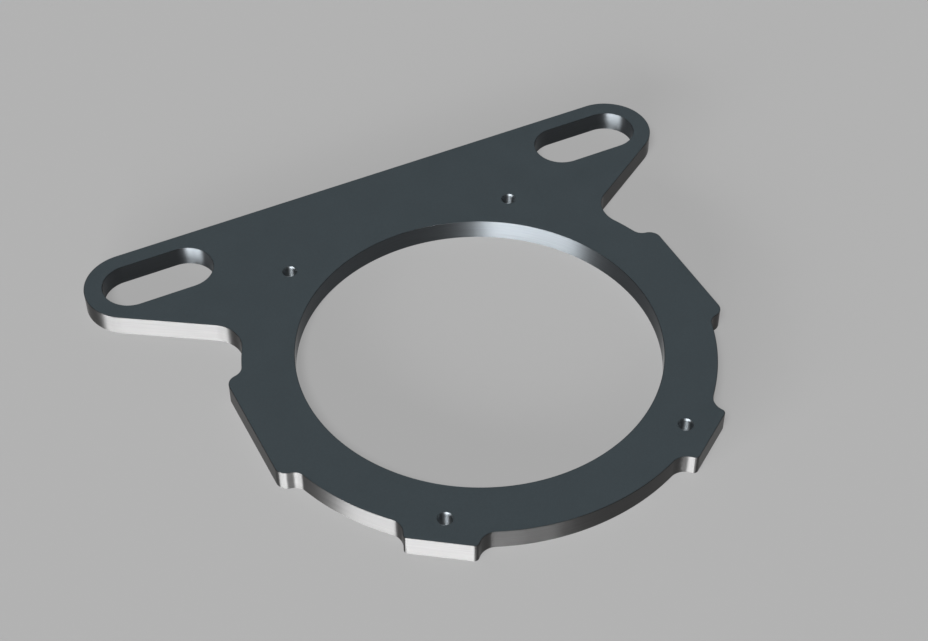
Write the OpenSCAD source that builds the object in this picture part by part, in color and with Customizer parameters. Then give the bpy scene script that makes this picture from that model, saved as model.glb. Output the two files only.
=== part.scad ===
// Gauge relocation bracket: one flat cut plate that carries a round gauge between two bolts.
// Millimetres. The origin is the centre of the gauge opening on the underside, +X runs along the
// row of slots, +Y points from the opening to the arms, and +Z comes up out of the upper face.

/* [Plate] */
// Thickness of the plate
plate_t = 4.8; // [3:0.1:10]

/* [Gauge opening and ring] */
// Diameter of the opening that takes the gauge
opening_d = 80; // [60:0.5:90]
// Outside diameter of the ring around the opening
ring_d = 103; // [101:0.1:105]

/* [Gauge screws] */
// Diameter of the circle on which the four screw holes lie
screw_circle_d = 97.2; // [94:0.1:98]
// Angle of each screw hole from the centre line of the bracket, seen from the opening's centre
screw_angle = 35; // [32:1:40]
// Diameter of a screw hole
screw_hole_d = 3.2; // [2:0.1:4]

/* [Arms and slots] */
// Distance between the middles of the two slots
slot_spacing = 110; // [104:0.5:130]
// Distance of the row of slots from the opening's centre
slot_offset = 51.7; // [50:0.1:60]
// Width of a slot
slot_w = 13; // [8:0.1:14]
// How far a bolt can travel along its slot, from end centre to end centre
slot_travel = 12.7; // [6:0.1:20]
// Width of the wall left around a slot
slot_wall = 4.1; // [3:0.1:8]
// Slope of an arm's lower edge against the row of slots
arm_slope = 32.75; // [28:0.25:38]
// Radius of the neck where an arm's lower edge runs into the ring
neck_r = 7.2; // [3:0.1:10]

/* [Side tabs] */
// Distance between the flat faces of the two side tabs
side_across = 106.2; // [106:0.1:112]
// Width of a side tab across its flat, before the corners are rounded
side_w = 29.4; // [20:0.1:34]
// Angle by which each shoulder of a side tab opens out towards the ring
side_flare = 12; // [0:1:20]
// Radius of a side tab's corners
side_corner_r = 2.6; // [1:0.1:4]
// Radius of the fillet between a side tab's shoulder and the ring
side_fillet_r = 2.8; // [1:0.1:4]

/* [Lower tabs] */
// Distance of a lower tab's flat from the opening's centre
tab_reach = 54.6; // [54:0.1:60]
// Width of a lower tab across its flat, before the corners are rounded
tab_w = 15; // [10:0.5:20]
// Angle by which each flank of a lower tab opens out towards the ring
tab_flare = 6; // [0:1:15]
// Radius of a lower tab's corners
tab_corner_r = 1; // [0.5:0.1:2]
// Radius of the fillet between a lower tab's flank and the ring
tab_fillet_r = 3.7; // [1:0.1:5]

/* [Hidden] */
$fn = 180;

ring_r = ring_d / 2;
slot_end_x = (slot_spacing + slot_travel) / 2;
arm_end_r = slot_w / 2 + slot_wall;
arm_end = [slot_end_x, slot_offset];
// How far a cutter runs past each face
cut_past = 1;
// How far a round corner or fillet bites into the edges that it runs into
bite = 0.0002;
// Arms and tabs are rooted in the ring at this share of its radius
root_share = 0.95;

// A straight edge is given by its outward normal n and its distance from the origin
function edge_normal(slope) = [sin(slope), -cos(slope)];
function edge_direction(n) = [-n.y, n.x];

// Centre of the fillet of radius r between a straight edge and the ring
function fillet_centre(n, edge, r) =
    n * (edge + r) + edge_direction(n) * sqrt(pow(ring_r + r, 2) - pow(edge + r, 2));

// Largest fillet that leaves the edge free from the distance along it that is given
function fillet_limit(edge, along) =
    (pow(along, 2) + pow(edge, 2) - pow(ring_r, 2)) / (2 * (ring_r - edge));

// Where a fillet with its centre at c touches the edge, and where it touches the ring
function on_edge(n, c, r) = c - r * n;
function on_ring(c, r) = c * ring_r / (ring_r + r);

// Centre of the rounded corner between a tab's flat, at x = reach, and one of its flanks
function corner_centre(n, edge, reach, r) =
    let (x = reach - r) [x, (edge - r - n.x * x) / n.y];

function mirrored(v) = [v.x, -v.y];
function turned(v, turn) = [v.x * cos(turn) - v.y * sin(turn), v.x * sin(turn) + v.y * cos(turn)];

bracket_plate_colour = [0.235, 0.267, 0.282];

// A round boss as thick as the plate
module boss(r) {
    cylinder(r = r, h = plate_t);
}

// A round cut through the plate
module bore(d) {
    translate([0, 0, -cut_past]) cylinder(d = d, h = plate_t + 2 * cut_past);
}

// Both arms, from the straight upper edge down to the slopes that run into the ring
module arms() {
    n = edge_normal(arm_slope);
    edge = arm_end * n + arm_end_r;
    neck_c = fillet_centre(n, edge, neck_r);
    half = [
        arm_end + [0, arm_end_r],
        arm_end + arm_end_r * n,
        on_edge(n, neck_c, neck_r),
        on_ring(neck_c, neck_r),
        root_share * on_ring(neck_c, neck_r)
    ];
    difference() {
        union() {
            linear_extrude(plate_t)
                polygon([for (p = half) p, for (i = [len(half) - 1:-1:0]) [-half[i].x, half[i].y]]);
            for (side = [-1, 1]) translate([side * arm_end.x, arm_end.y]) boss(arm_end_r + bite);
        }
        for (side = [-1, 1]) translate([side * neck_c.x, neck_c.y]) bore(2 * (neck_r + bite));
    }
}

// A tab that stands out of the ring at the angle turn, with its corners rounded and its flanks
// filleted into the ring. A fillet is no larger than the flank has room for.
module tab(turn, reach, width, flare, corner_r, wanted_fillet_r) {
    n = edge_normal(flare);
    edge = [reach, -width / 2] * n;
    corner_c = corner_centre(n, edge, reach, corner_r);
    fillet_r = min(wanted_fillet_r, fillet_limit(edge, corner_c * edge_direction(n)));
    fillet_c = fillet_centre(n, edge, fillet_r);
    half = [
        root_share * on_ring(fillet_c, fillet_r),
        on_ring(fillet_c, fillet_r),
        on_edge(n, fillet_c, fillet_r),
        corner_c + corner_r * n,
        corner_c + [corner_r, 0]
    ];
    both = [for (p = half) p, for (i = [len(half) - 1:-1:0]) mirrored(half[i])];
    difference() {
        union() {
            linear_extrude(plate_t) polygon([for (p = both) turned(p, turn)]);
            for (c = [corner_c, mirrored(corner_c)]) translate(turned(c, turn)) boss(corner_r + bite);
        }
        for (c = [fillet_c, mirrored(fillet_c)]) translate(turned(c, turn)) bore(2 * (fillet_r + bite));
    }
}

// The plate before its holes are cut
module blank() {
    boss(ring_r);
    arms();
    for (turn = [0, 180]) tab(turn, side_across / 2, side_w, side_flare, side_corner_r, side_fillet_r);
    for (side = [-1, 1])
        tab(side * screw_angle - 90, tab_reach, tab_w, tab_flare, tab_corner_r, tab_fillet_r);
}

// A slot through the plate, centred, with round ends
module slot() {
    for (side = [-1, 1]) translate([side * slot_travel / 2, 0]) bore(slot_w);
    translate([-slot_travel / 2, -slot_w / 2, -cut_past])
        cube([slot_travel, slot_w, plate_t + 2 * cut_past]);
}

module bracket_plate() {
    color(bracket_plate_colour)
    difference() {
        blank();
        bore(opening_d);
        for (turn = [0, 180], side = [-1, 1])
            translate(turned([screw_circle_d / 2, 0], turn + 90 + side * screw_angle)) bore(screw_hole_d);
        for (side = [-1, 1]) translate([side * slot_spacing / 2, slot_offset]) slot();
    }
}

bracket_plate();
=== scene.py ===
"""The gauge relocation bracket, dressed: one flat plate with dark matt faces and bare cut walls.

The plate's sizes are given in millimetres, as in its CAD source. Its mesh and the rest of the scene
are in metres.
"""

import math

import bmesh
import bpy
from mathutils import Matrix, Vector

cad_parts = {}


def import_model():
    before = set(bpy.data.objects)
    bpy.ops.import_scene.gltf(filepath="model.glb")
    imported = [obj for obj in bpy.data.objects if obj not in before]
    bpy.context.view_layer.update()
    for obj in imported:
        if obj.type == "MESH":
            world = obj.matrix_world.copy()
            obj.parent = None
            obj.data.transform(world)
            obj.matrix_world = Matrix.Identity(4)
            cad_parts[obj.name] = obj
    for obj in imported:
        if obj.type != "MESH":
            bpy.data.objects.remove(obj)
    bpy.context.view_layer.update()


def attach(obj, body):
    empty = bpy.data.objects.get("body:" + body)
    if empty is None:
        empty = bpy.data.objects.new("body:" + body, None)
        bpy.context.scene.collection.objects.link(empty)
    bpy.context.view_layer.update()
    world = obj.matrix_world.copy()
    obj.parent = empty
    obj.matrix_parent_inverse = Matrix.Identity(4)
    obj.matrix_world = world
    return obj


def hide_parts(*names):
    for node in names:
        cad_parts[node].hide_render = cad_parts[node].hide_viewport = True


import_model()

MM = 0.001

# The plate, in millimetres and degrees
PLATE_T = 4.8
OPENING_R = 40.0
RING_R = 51.5
SCREW_CIRCLE_R, SCREW_ANGLE, SCREW_R = 48.6, 35.0, 1.6
SLOT_SPACING, SLOT_OFFSET, SLOT_W, SLOT_TRAVEL, SLOT_WALL = 110.0, 51.7, 13.0, 12.7, 4.1
ARM_SLOPE, NECK_R = 32.75, 7.2
SIDE_TAB = dict(reach=53.1, width=29.4, flare=12.0, corner_r=2.6, fillet_r=2.8)
LOWER_TAB = dict(reach=54.6, width=15.0, flare=6.0, corner_r=1.0, fillet_r=3.7)

# Fineness of the mesh, in millimetres. Points closer than REPEAT count as one.
EDGE_BREAK, EDGE_STEPS = 0.1, 3
ARC_CHORD, LINE_STEP = 0.35, 2.0
REPEAT = 1e-4

# Material slots of the mesh, in the order in which the finishes are added
FLATS, OUTER_WALLS, INNER_WALLS, SCREW_WALLS = range(4)

# Finish of the flats. Clouds and grain are given per metre and relief in metres. A tone is the share
# by which the colour goes up and down.
FACE_COLOUR = (0.036, 0.0485, 0.0555)
FACE_ROUGHNESS = (0.8, 0.92)
FACE_SPECULAR = 0.3
FACE_CLOUDS, FACE_CLOUD_DETAIL, FACE_CLOUD_TONE = 140.0, 2.0, 0.03
FACE_GRAIN, FACE_GRAIN_DETAIL, FACE_GRAIN_TONE = 2600.0, 3.0, 0.06
FACE_RELIEF = 0.000004

# Finish of the cut walls. The lines are given per metre along the wall and up it, and the quarter turn
# sets the stretch of the gloss across them.
OUTER_WALL = dict(colour=(0.176, 0.176, 0.176), roughness=(0.52, 0.58))
INNER_WALL = dict(colour=(0.162, 0.178, 0.191), roughness=(0.52, 0.58))
# The screw holes' walls are given a paler colour than the other cut walls. This is painted light: it
# stands in for the light that the holes' depth keeps off their walls.
SCREW_WALL_PAINTED_LIGHT = dict(colour=(0.32, 0.352, 0.375), roughness=(0.66, 0.72))
WALL_LINES, WALL_LINE_DETAIL = (90.0, 3200.0, 1.0), 3.0
WALL_TONE = 0.12
WALL_RELIEF = 0.000002
GLOSS_STRETCH, GLOSS_STRETCH_TURN = 1.0, 0.25
COAT_WEIGHT, COAT_IOR, COAT_ROUGHNESS = 1.0, 1.06, 0.02

# Noise values that stand for the ends of a range
NOISE_RANGE = (0.25, 0.75)

# The floor: its side in metres, its colour, and how much of what the camera and mirror-like surfaces
# see of it is plain colour
FLOOR_SIZE = 6.0
FLOOR_TONE = 0.445
FLOOR_COLOUR = (FLOOR_TONE, FLOOR_TONE, FLOOR_TONE, 1)
FLOOR_GLOW = 0.7

# The lamps. A row of them is given as (azimuth, strength) pairs.
OVERHEAD = dict(azimuth=-140, elevation=54, strength=2.2, angle=22)
LOW_LAMPS = ((-168, 2.2), (-157, 2.1), (-146, 1.7), (-135, 1.6), (-124, 2.4))
LOW = dict(elevation=7, angle=12)
# The level lamps stand so low that the plate's thickness keeps them out of its openings: they light
# only the outside walls.
LEVEL_LAMPS = ((-103, 0.5), (-90, 0.45))
LEVEL = dict(elevation=0.05, angle=0.1)

# The surroundings are as pale as the floor up to the first of these heights (sine of the elevation)
# and dark above the second, so that a low view ends in no dark band.
HORIZON = (0.19, 0.32)
SKY_TONE = 0.03

# The photograph's view, from a fit to the plate's edges. Its frame, the focal length and the place of the
# plate's origin are in pixels, and azimuth 0 looks from -Y and grows towards +X.
FRAME_W, FRAME_H = 928, 641
VIEW_AZIMUTH, VIEW_ELEVATION = -26.599, 44.971
VIEW_DISTANCE = 395.12 * MM
FOCAL_PX = 1805.7
ORIGIN_PX = (479.39, 360.20)
SENSOR_W_MM = 36.0
CLIP_NEAR, CLIP_FAR = 0.01, 20.0


def unit(degrees):
    """The unit vector at an angle in the plate's plane."""
    a = math.radians(degrees)
    return Vector((math.cos(a), math.sin(a)))


def direction(v):
    """The angle of a vector in the plate's plane, in degrees."""
    return math.degrees(math.atan2(v.y, v.x))


def arc(centre, radius, start, sweep, hollow=False):
    """Points and outward normals along an arc; on a hollow arc the metal lies outside the circle."""
    n = max(2, math.ceil(abs(math.radians(sweep)) * radius / ARC_CHORD))
    out = []
    for i in range(n + 1):
        u = unit(start + sweep * i / n)
        out.append((centre + radius * u, -u if hollow else u))
    return out


def line(a, b):
    """Points and outward normals between two corners; the metal lies on the left."""
    d = (b - a).normalized()
    n = max(1, round((b - a).length / LINE_STEP))
    return [(a + (b - a) * i / n, Vector((d.y, -d.x))) for i in range(n + 1)]


def sweep_to(start, end, turn):
    """Angle from start to end, counter-clockwise for turn 1 and clockwise for turn -1."""
    return turn * ((turn * (end - start)) % 360.0)


def edge_normal(slope):
    """Outward normal of a lower edge that rises towards +X by the slope, in degrees."""
    a = math.radians(slope)
    return Vector((math.sin(a), -math.cos(a)))


def fillet_centre(n, edge, radius):
    """Centre of the fillet between the ring and the edge with outward normal n, at the distance edge."""
    along = math.sqrt((RING_R + radius) ** 2 - (edge + radius) ** 2)
    return n * (edge + radius) + Vector((-n.y, n.x)) * along


def fillet(centre, radius, n):
    """The fillet from its tangent point on the ring to the one on the edge with outward normal n."""
    start = direction(-centre)
    return arc(centre, radius, start, sweep_to(start, direction(-n), -1), hollow=True)


def mirrored(points, x, y):
    """An edge mirrored by the factors x and y, in reverse order, so that it runs the same way round."""
    return [(Vector((x * p.x, y * p.y)), Vector((x * n.x, y * n.y))) for p, n in reversed(points)]


def turned(v, degrees):
    """A vector turned in the plate's plane."""
    u = unit(degrees)
    return Vector((v.x * u.x - v.y * u.y, v.x * u.y + v.y * u.x))


def tab(turn, reach, width, flare, corner_r, fillet_r):
    """Outline of a tab at the angle turn, counter-clockwise, from one ring tangent to the other."""
    n = edge_normal(flare)
    edge = Vector((reach, -width / 2)).dot(n)
    x = reach - corner_r
    corner = Vector((x, (edge - corner_r - n.x * x) / n.y))
    side = fillet(fillet_centre(n, edge, fillet_r), fillet_r, n)
    side += arc(corner, corner_r, direction(n), sweep_to(direction(n), 0.0, 1))
    other = mirrored(side, 1, -1)
    middle = line(side[-1][0], other[0][0])
    return [(turned(p, turn), turned(m, turn)) for p, m in side + middle + other]


def arms():
    """Outline of both arms, counter-clockwise, from the right neck's ring tangent to the left one's."""
    end = Vector(((SLOT_SPACING + SLOT_TRAVEL) / 2, SLOT_OFFSET))
    end_r = SLOT_W / 2 + SLOT_WALL
    n = edge_normal(ARM_SLOPE)
    neck = fillet_centre(n, end.dot(n) + end_r, NECK_R)
    right = fillet(neck, NECK_R, n)
    right += line(neck - NECK_R * n, end + end_r * n)
    right += arc(end, end_r, direction(n), sweep_to(direction(n), 90.0, 1))
    left = mirrored(right, -1, 1)
    return right + line(right[-1][0], left[0][0]) + left


def outline():
    """The whole outside edge, counter-clockwise: tabs and arms joined by arcs of the ring."""
    parts = [
        tab(0, **SIDE_TAB),
        arms(),
        tab(180, **SIDE_TAB),
        tab(-90 - SCREW_ANGLE, **LOWER_TAB),
        tab(-90 + SCREW_ANGLE, **LOWER_TAB),
    ]
    out = []
    for part, following in zip(parts, parts[1:] + parts[:1]):
        start = direction(part[-1][0])
        end = direction(following[0][0])
        out += part + arc(Vector((0, 0)), RING_R, start, sweep_to(start, end, 1))
    return out


def hole(centre, radius, travel=0.0):
    """The edge of a round hole or of a slot, clockwise, so that the metal lies on the left."""
    shift = Vector((travel / 2, 0))
    drop = Vector((0, radius))
    out = arc(centre + shift, radius, 90, -180, hollow=True)
    if travel:
        out += line(centre + shift - drop, centre - shift - drop)
    out += arc(centre - shift, radius, 270, -180, hollow=True)
    if travel:
        out += line(centre - shift + drop, centre + shift + drop)
    return out


def without_repeats(points):
    """Drops points that fall on the one before them, so that each side has a length."""
    out = []
    for p, n in points:
        if not out or (p - out[-1][0]).length > REPEAT:
            out.append((p, n))
    if (out[0][0] - out[-1][0]).length <= REPEAT:
        out.pop()
    return out


def closed_edges():
    """Every closed edge of the plate, each with the material slot of its wall."""
    out = [(OUTER_WALLS, outline()), (INNER_WALLS, hole(Vector((0, 0)), OPENING_R))]
    for middle in (90, 270):
        for side in (-1, 1):
            centre = SCREW_CIRCLE_R * unit(middle + side * SCREW_ANGLE)
            out.append((SCREW_WALLS, hole(centre, SCREW_R)))
    for side in (-1, 1):
        centre = Vector((side * SLOT_SPACING / 2, SLOT_OFFSET))
        out.append((INNER_WALLS, hole(centre, SLOT_W / 2, SLOT_TRAVEL)))
    return [(slot, without_repeats(points)) for slot, points in out]


def wall_profile():
    """The wall's section from the lower face to the upper one: (inset, height, tilt of the normal)."""
    turns = [math.pi / 2 * i / EDGE_STEPS for i in range(EDGE_STEPS + 1)]
    lower = [
        (EDGE_BREAK * (1 - math.sin(t)), EDGE_BREAK * (1 - math.cos(t)), t - math.pi / 2)
        for t in turns
    ]
    upper = [(inset, PLATE_T - height, -tilt) for inset, height, tilt in reversed(lower)]
    return lower + upper


def wall_rows(bm, points, profile, normal_of):
    """Adds the rows of vertices up a wall, and notes the normal of each."""
    rows = []
    for inset, height, tilt in profile:
        row = []
        for p, n in points:
            q = p - inset * n
            vertex = bm.verts.new((q.x * MM, q.y * MM, height * MM))
            normal_of[vertex] = Vector((n.x * math.cos(tilt), n.y * math.cos(tilt), math.sin(tilt)))
            row.append(vertex)
        rows.append(row)
    return rows


def wall_faces(bm, uv, slot, points, profile, rows):
    """Adds the faces between a wall's rows, with the length along the wall and the height as their UVs."""
    count = len(points)
    lengths = [0.0]
    for i in range(count):
        lengths.append(lengths[-1] + (points[(i + 1) % count][0] - points[i][0]).length)
    for k in range(len(profile) - 1):
        low, high = profile[k][1], profile[k + 1][1]
        for i in range(count):
            j = (i + 1) % count
            face = bm.faces.new((rows[k][i], rows[k][j], rows[k + 1][j], rows[k + 1][i]))
            face.material_index = slot
            face.smooth = True
            start, end = lengths[i], lengths[i + 1]
            for corner, (u, v) in zip(face.loops, ((start, low), (end, low), (end, high), (start, high))):
                corner[uv].uv = (u * MM, v * MM)


def flat_face(bm, uv, rims, up):
    """Fills the plate's upper or lower face between the rims of all its walls."""
    edges = [bm.edges.get((rim[i], rim[(i + 1) % len(rim)])) for rim in rims for i in range(len(rim))]
    made = bmesh.ops.triangle_fill(bm, edges=edges, use_beauty=True)
    for face in made["geom"]:
        if isinstance(face, bmesh.types.BMFace):
            if (face.normal.z > 0) != up:
                face.normal_flip()
            face.material_index = FLATS
            for corner in face.loops:
                corner[uv].uv = corner.vert.co.xy


def plate_mesh():
    """A closed mesh of the plate, with a small edge break and with normals that keep its flats flat."""
    bm = bmesh.new()
    uv = bm.loops.layers.uv.new("along")
    profile = wall_profile()
    normal_of = {}
    walls = []
    for slot, points in closed_edges():
        rows = wall_rows(bm, points, profile, normal_of)
        wall_faces(bm, uv, slot, points, profile, rows)
        walls.append(rows)
    flat_face(bm, uv, [rows[0] for rows in walls], up=False)
    flat_face(bm, uv, [rows[-1] for rows in walls], up=True)
    bm.verts.index_update()
    by_index = {vertex.index: n for vertex, n in normal_of.items()}
    mesh = bpy.data.meshes.new("bracket_plate_visual")
    bm.to_mesh(mesh)
    bm.free()
    normals = []
    for face in mesh.polygons:
        flat = face.material_index == FLATS
        normals += [face.normal.copy() if flat else by_index[v] for v in face.vertices]
    mesh.normals_split_custom_set(normals)
    return mesh


def fill_in(tree, node, inputs):
    """Gives each named or numbered input of a node its value, or links it to the socket given."""
    for key, value in inputs.items():
        if isinstance(value, bpy.types.NodeSocket):
            tree.links.new(value, node.inputs[key])
        else:
            node.inputs[key].default_value = value


def add_node(tree, kind, inputs=None, **settings):
    """A new node with its settings and inputs."""
    node = tree.nodes.new(kind)
    for key, value in settings.items():
        setattr(node, key, value)
    fill_in(tree, node, inputs or {})
    return node


def calculate(tree, operation, a, b):
    """The result of a Math node on two values."""
    return add_node(tree, "ShaderNodeMath", {0: a, 1: b}, operation=operation).outputs["Value"]


def noise(tree, place, scale, detail):
    """Noise from 0 to 1, with its middle at 0.5."""
    inputs = {"Vector": place, "Scale": scale, "Detail": detail}
    return add_node(tree, "ShaderNodeTexNoise", inputs).outputs["Fac"]


def remap(tree, value, source, target):
    """Takes a value from one range to another."""
    inputs = {
        "Value": value,
        "From Min": source[0],
        "From Max": source[1],
        "To Min": target[0],
        "To Max": target[1],
    }
    return add_node(tree, "ShaderNodeMapRange", inputs).outputs["Result"]


def tone(tree, value, share):
    """A factor around 1 that follows a noise value and goes up and down by the share."""
    return remap(tree, value, NOISE_RANGE, (1 - share, 1 + share))


def toned(tree, colour, factor):
    """The colour times a factor."""
    inputs = {0: colour, "Scale": factor}
    return add_node(tree, "ShaderNodeVectorMath", inputs, operation="SCALE").outputs["Vector"]


def relief(tree, height, distance):
    """A normal that follows a height from 0 to 1, over a distance in metres."""
    return add_node(tree, "ShaderNodeBump", {"Height": height, "Distance": distance}).outputs["Normal"]


def new_material(name):
    """A new material, its node tree and its shader."""
    m = bpy.data.materials.new(name)
    m.use_nodes = True
    return m, m.node_tree, m.node_tree.nodes["Principled BSDF"]


def slate_face():
    """Matt blue-grey finish of the flats: a fine grain over a faint cloudiness."""
    m, tree, shader = new_material("slate_face")
    place = add_node(tree, "ShaderNodeTexCoord").outputs["Object"]
    cloud = noise(tree, place, FACE_CLOUDS, FACE_CLOUD_DETAIL)
    grain = noise(tree, place, FACE_GRAIN, FACE_GRAIN_DETAIL)
    cloud_tone = tone(tree, cloud, FACE_CLOUD_TONE)
    grain_tone = tone(tree, grain, FACE_GRAIN_TONE)
    inputs = {
        "Base Color": toned(tree, FACE_COLOUR, calculate(tree, "MULTIPLY", cloud_tone, grain_tone)),
        "Roughness": remap(tree, cloud, NOISE_RANGE, FACE_ROUGHNESS),
        "Specular IOR Level": FACE_SPECULAR,
        "Normal": relief(tree, grain, FACE_RELIEF),
    }
    fill_in(tree, shader, inputs)
    return m


def cut_wall(name, colour, roughness):
    """Bare metal of the cut walls, with fine lines that run along the cut."""
    m, tree, shader = new_material(name)
    along = add_node(tree, "ShaderNodeUVMap", uv_map="along").outputs["UV"]
    stretched = add_node(tree, "ShaderNodeVectorMath", {0: along, 1: WALL_LINES}, operation="MULTIPLY")
    lines = noise(tree, stretched.outputs["Vector"], 1.0, WALL_LINE_DETAIL)
    tangent = add_node(tree, "ShaderNodeTangent", direction_type="UV_MAP", uv_map="along")
    inputs = {
        "Base Color": toned(tree, colour, tone(tree, lines, WALL_TONE)),
        "Metallic": 1.0,
        "Roughness": remap(tree, lines, NOISE_RANGE, roughness),
        "Anisotropic": GLOSS_STRETCH,
        "Anisotropic Rotation": GLOSS_STRETCH_TURN,
        "Coat Weight": COAT_WEIGHT,
        "Coat IOR": COAT_IOR,
        "Coat Roughness": COAT_ROUGHNESS,
        "Tangent": tangent.outputs["Tangent"],
        "Normal": relief(tree, lines, WALL_RELIEF),
    }
    fill_in(tree, shader, inputs)
    return m


def floor():
    """A plain floor, seen for the most part as plain colour, which softens its shadows."""
    bpy.ops.mesh.primitive_plane_add(size=FLOOR_SIZE, location=(0, 0, 0))
    f = bpy.context.object
    f.name = "floor"
    m, tree, lit = new_material("floor")
    fill_in(tree, lit, {"Base Color": FLOOR_COLOUR, "Roughness": 1.0, "Specular IOR Level": 0.0})
    glow = add_node(tree, "ShaderNodeEmission", {"Color": FLOOR_COLOUR})
    ray = add_node(tree, "ShaderNodeLightPath").outputs
    seen = calculate(tree, "MAXIMUM", ray["Is Camera Ray"], ray["Is Glossy Ray"])
    seen = calculate(tree, "MAXIMUM", seen, ray["Is Transmission Ray"])
    share = calculate(tree, "MULTIPLY", seen, FLOOR_GLOW)
    inputs = {"Fac": share, 1: lit.outputs["BSDF"], 2: glow.outputs["Emission"]}
    mix = add_node(tree, "ShaderNodeMixShader", inputs)
    fill_in(tree, tree.nodes["Material Output"], {"Surface": mix.outputs["Shader"]})
    f.data.materials.append(m)


def sun(name, azimuth, elevation, strength, angle):
    """A distant lamp at an azimuth and elevation, with the angle that it fills, all in degrees.

    Azimuth 0 is +X, and it grows counter-clockwise.
    """
    data = bpy.data.lights.new(name, "SUN")
    data.energy = strength
    data.angle = math.radians(angle)
    lamp = bpy.data.objects.new(name, data)
    u = unit(azimuth)
    e = math.radians(elevation)
    towards = Vector((u.x * math.cos(e), u.y * math.cos(e), math.sin(e)))
    lamp.rotation_mode = "QUATERNION"
    lamp.rotation_quaternion = towards.to_track_quat("Z", "Y")
    bpy.context.scene.collection.objects.link(lamp)


def lamps():
    """The lamp overhead, the row of low ones at the front left and the two level ones at the front."""
    sun("overhead", **OVERHEAD)
    for i, (azimuth, strength) in enumerate(LOW_LAMPS):
        sun("low_%d" % i, azimuth, strength=strength, **LOW)
    for i, (azimuth, strength) in enumerate(LEVEL_LAMPS):
        sun("level_%d" % i, azimuth, strength=strength, **LEVEL)


def world():
    """The surroundings: pale below, dark above."""
    w = bpy.data.worlds.new("world")
    w.use_nodes = True
    tree = w.node_tree
    place = add_node(tree, "ShaderNodeTexCoord").outputs["Generated"]
    height = add_node(tree, "ShaderNodeSeparateXYZ", {"Vector": place}).outputs["Z"]
    strength = remap(tree, height, HORIZON, (FLOOR_TONE, SKY_TONE))
    fill_in(tree, tree.nodes["Background"], {"Color": (1, 1, 1, 1), "Strength": strength})
    bpy.context.scene.world = w


def camera():
    """The camera at the photograph's view."""
    azimuth, elevation = math.radians(VIEW_AZIMUTH), math.radians(VIEW_ELEVATION)
    level = math.cos(elevation)
    back = Vector((math.sin(azimuth) * level, -math.cos(azimuth) * level, math.sin(elevation)))
    right = Vector((math.cos(azimuth), math.sin(azimuth), 0))
    up = back.cross(right)
    dx = (ORIGIN_PX[0] - FRAME_W / 2) * VIEW_DISTANCE / FOCAL_PX
    dy = (ORIGIN_PX[1] - FRAME_H / 2) * VIEW_DISTANCE / FOCAL_PX
    data = bpy.data.cameras.new("camera")
    data.sensor_width = SENSOR_W_MM
    data.lens = FOCAL_PX * SENSOR_W_MM / FRAME_W
    data.clip_start, data.clip_end = CLIP_NEAR, CLIP_FAR
    cam = bpy.data.objects.new("camera", data)
    place = Matrix.Translation(back * VIEW_DISTANCE - right * dx + up * dy)
    cam.matrix_world = place @ Matrix((right, up, back)).transposed().to_4x4()
    bpy.context.scene.collection.objects.link(cam)
    bpy.context.scene.camera = cam


plate = bpy.data.objects.new("bracket_plate_dressed", plate_mesh())
bpy.context.scene.collection.objects.link(plate)
plate.data.materials.append(slate_face())
plate.data.materials.append(cut_wall("cut_wall_outer", **OUTER_WALL))
plate.data.materials.append(cut_wall("cut_wall_inner", **INNER_WALL))
# The screw holes' walls take the paler colour above, painted light for the light that does not reach down
# into them.
plate.data.materials.append(cut_wall("screw_wall_painted_light", **SCREW_WALL_PAINTED_LIGHT))
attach(plate, "root")
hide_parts("bracket_plate")

floor()
lamps()
world()
camera()
bpy.context.scene.view_settings.view_transform = "Standard"
